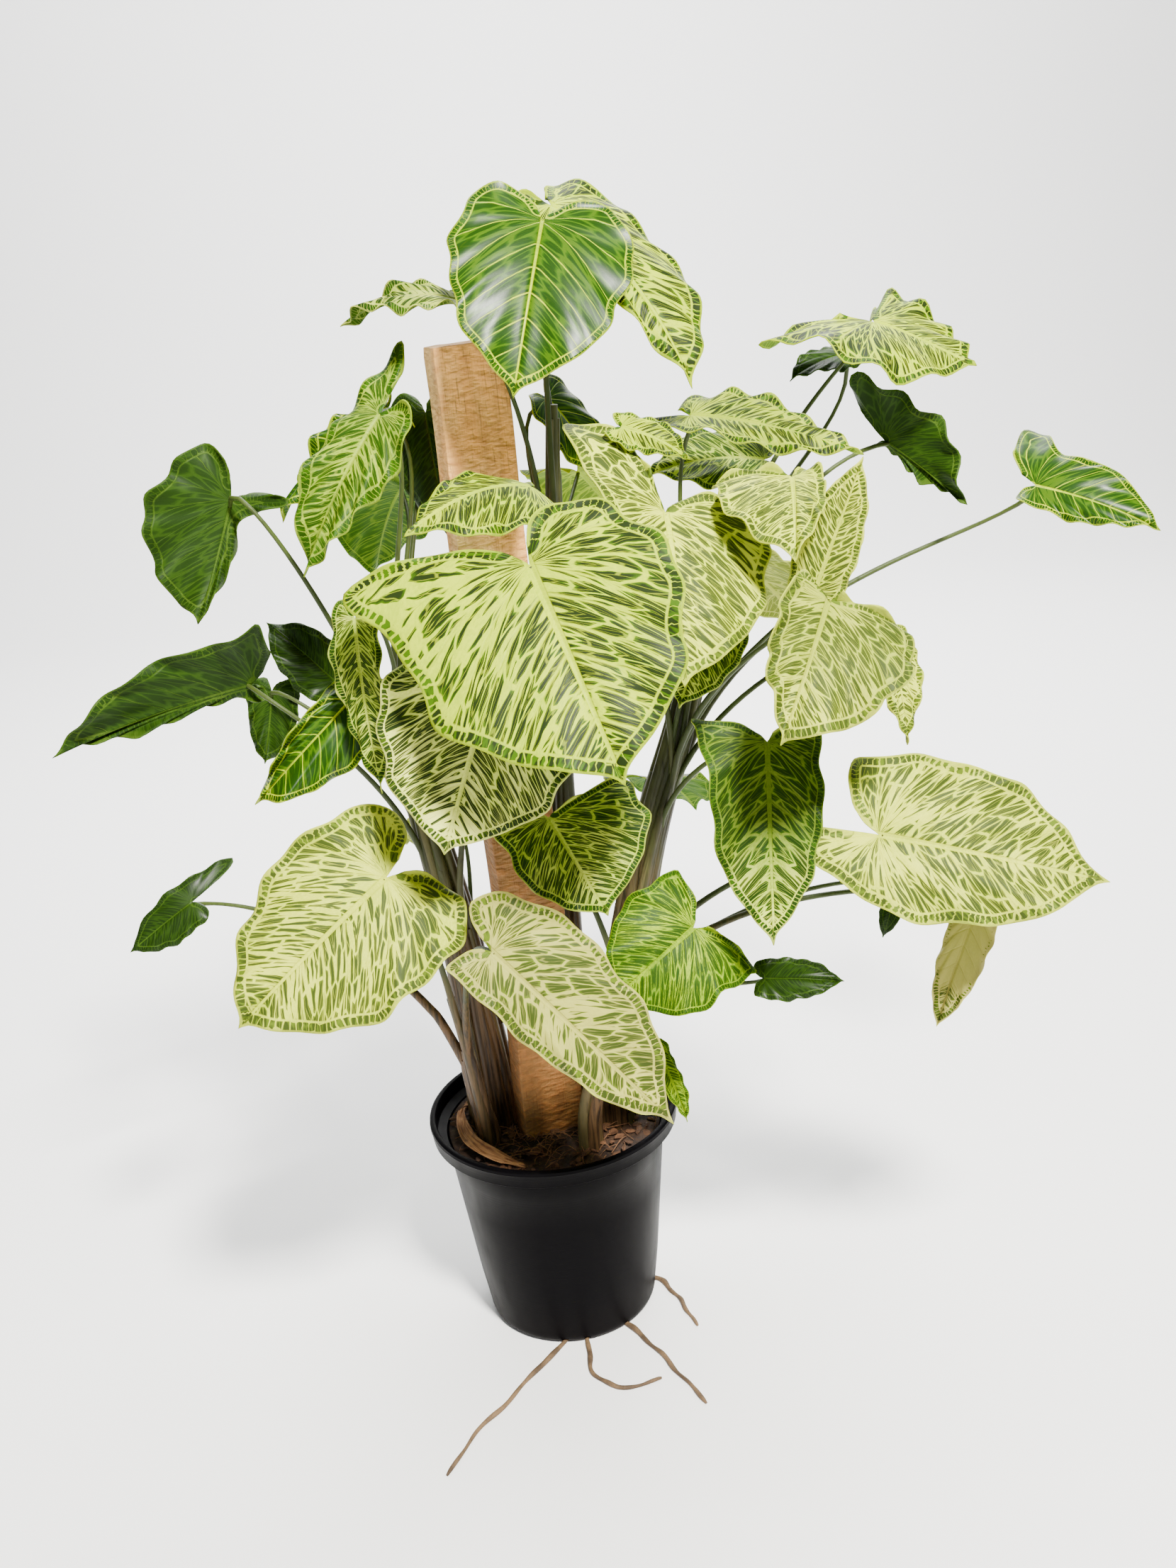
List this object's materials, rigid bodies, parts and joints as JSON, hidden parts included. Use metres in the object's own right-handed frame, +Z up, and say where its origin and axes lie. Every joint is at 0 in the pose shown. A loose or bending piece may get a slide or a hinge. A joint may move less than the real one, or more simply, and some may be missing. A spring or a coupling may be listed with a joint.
{
  "type": "potted batik syngonium",
  "caption": "Arrow-leaved climbing aroid with cream-veined batik leaves on a wooden stake, standing in a round black nursery pot.",
  "frame": {"origin": "middle of the pot's base, on the surface that the pot stands on", "axes": "+Z up the pot's axis, -Y towards the side that the picture shows, +X to its right"},
  "size_m": [0.7303, 0.4344, 0.8263],
  "materials": {
    "pot_plastic": "satin black, fine moulding marks",
    "coir_soil": "rough brown coir and bark",
    "stake_wood": "sawn, unplaned, orange-tan",
    "dry_sheath": "dry, fibrous, brown",
    "stem_skin": "satin olive brown",
    "root_skin": "matte brown",
    "leaf_lime": "satin, yellow-lime veins round dark green cells",
    "leaf_cream": "satin, cream veins round muted green cells",
    "leaf_dark": "satin, dark green with pale veins",
    "leaf_green": "glossy green with thin light veins",
    "leaf_plain": "dull dark green, underside showing"
  },
  "bodies": {
    "root": {"pot": "pot_plastic", "soil": "coir_soil", "stake": "stake_wood", "dry_sheath": "dry_sheath", "stem_centre": "stem_skin", "stem_left": "stem_skin", "stem_right": "stem_skin", "stem_low_left": "stem_skin", "stem_low_right": "stem_skin", "root_left_front": "root_skin", "root_curl_front": "root_skin", "root_right_front": "root_skin", "root_right_side": "root_skin", "leaf_crown_heart": "leaf_green", "leaf_crown_right": "leaf_lime", "leaf_crown_left": "leaf_dark", "leaf_big_front": "leaf_lime", "leaf_arched_over_front": "leaf_lime", "leaf_centre_back_green": "leaf_green", "leaf_left_hanging_plain": "leaf_plain", "leaf_left_patched": "leaf_lime", "leaf_left_arched": "leaf_green", "leaf_left_shaded": "leaf_plain", "leaf_left_long_dark": "leaf_plain", "leaf_left_small_dark": "leaf_plain", "leaf_left_notched_dark": "leaf_plain", "leaf_left_bright_folded": "leaf_green", "leaf_left_narrow_dark": "leaf_dark", "leaf_dark_behind_front": "leaf_dark", "leaf_right_parasol": "leaf_lime", "leaf_right_dark_lobe": "leaf_plain", "leaf_right_hanging_dark": "leaf_plain", "leaf_right_far": "leaf_green", "leaf_right_long_low": "leaf_lime", "leaf_small_over_centre": "leaf_lime", "leaf_dark_under_long": "leaf_dark", "leaf_cream_long_lobe": "leaf_cream", "leaf_cream_top": "leaf_cream", "leaf_cream_right": "leaf_cream", "leaf_cream_upright": "leaf_cream", "leaf_right_light_strip": "leaf_cream", "leaf_dark_between": "leaf_dark", "leaf_dark_with_bright_tip": "leaf_dark", "leaf_cream_far_right": "leaf_cream", "leaf_beige_hanging": "leaf_cream", "leaf_right_tiny_dark": "leaf_plain", "leaf_right_low_dark": "leaf_plain", "leaf_low_green": "leaf_green", "leaf_dark_centre": "leaf_dark", "leaf_rim_green": "leaf_green", "leaf_cream_front_low": "leaf_cream", "leaf_cream_left_low": "leaf_cream", "leaf_far_left_dark": "leaf_plain", "leaf_back_high_right": "leaf_lime", "leaf_back_high_left": "leaf_green", "leaf_back_middle": "leaf_cream", "leaf_back_right": "leaf_cream", "leaf_back_left": "leaf_lime", "leaf_back_low_right": "leaf_green", "leaf_back_low_left": "leaf_cream"}
  },
  "joints": []
}
